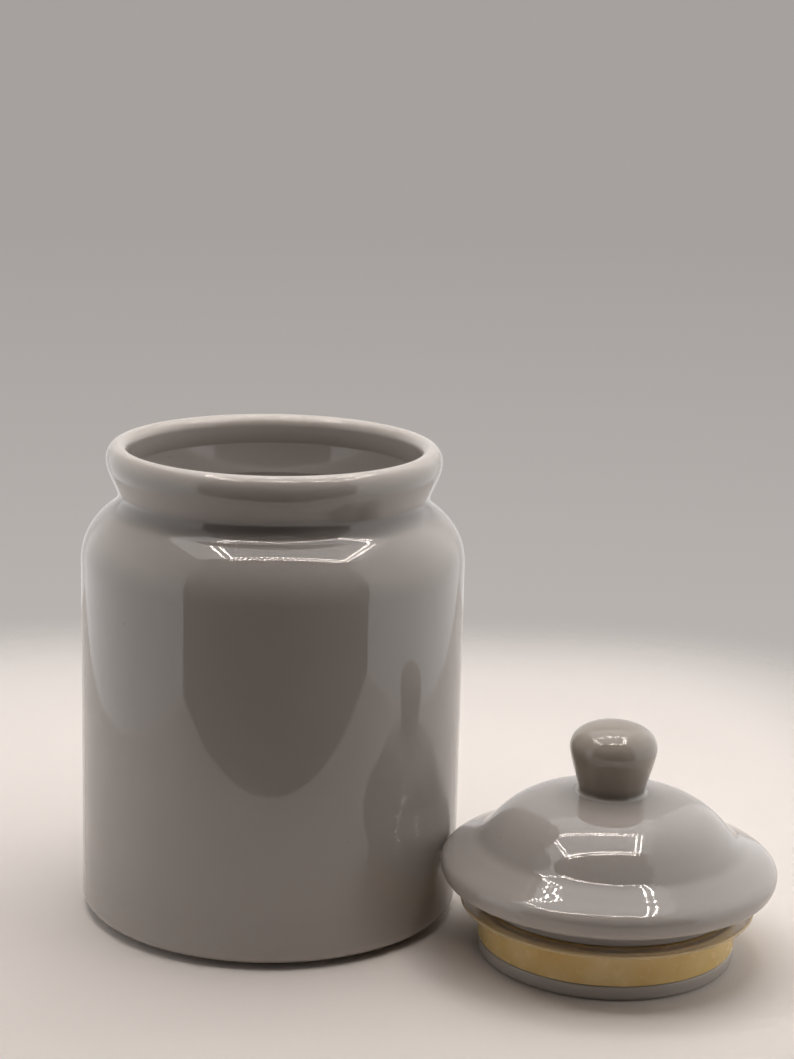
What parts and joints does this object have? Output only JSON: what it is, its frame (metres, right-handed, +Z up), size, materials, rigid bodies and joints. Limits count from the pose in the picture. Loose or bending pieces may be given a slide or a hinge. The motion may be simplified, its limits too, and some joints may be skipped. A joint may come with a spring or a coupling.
{
  "type": "lidded ceramic jar",
  "caption": "Round glazed ceramic storage jar with a flared neck and rolled rim, and a domed lid with a knob and a lip seal round its plug, standing beside it.",
  "frame": {"origin": "on the jar's axis, in the plane of the foot ring that it stands on", "axes": "+Z up along the jar's axis and out of its mouth; +X from the jar towards the lid that stands beside it"},
  "size_m": [0.2124, 0.114, 0.1425],
  "materials": {
    "jar_glaze": "glossy glaze, bare foot ring",
    "lid_glaze": "glossy glaze",
    "seal": "smooth, slightly clear"
  },
  "bodies": {
    "jar": {"jar_body": "jar_glaze"},
    "lid_assembly": {"lid": "lid_glaze", "lid_knob": "lid_glaze", "seal_ring": "seal"}
  },
  "joints": [
    {"name": "lid_lift", "type": "slide", "parent": "jar", "child": "lid_assembly", "axis": [0, 0, 1], "range_m": [0, 0.15]}
  ]
}
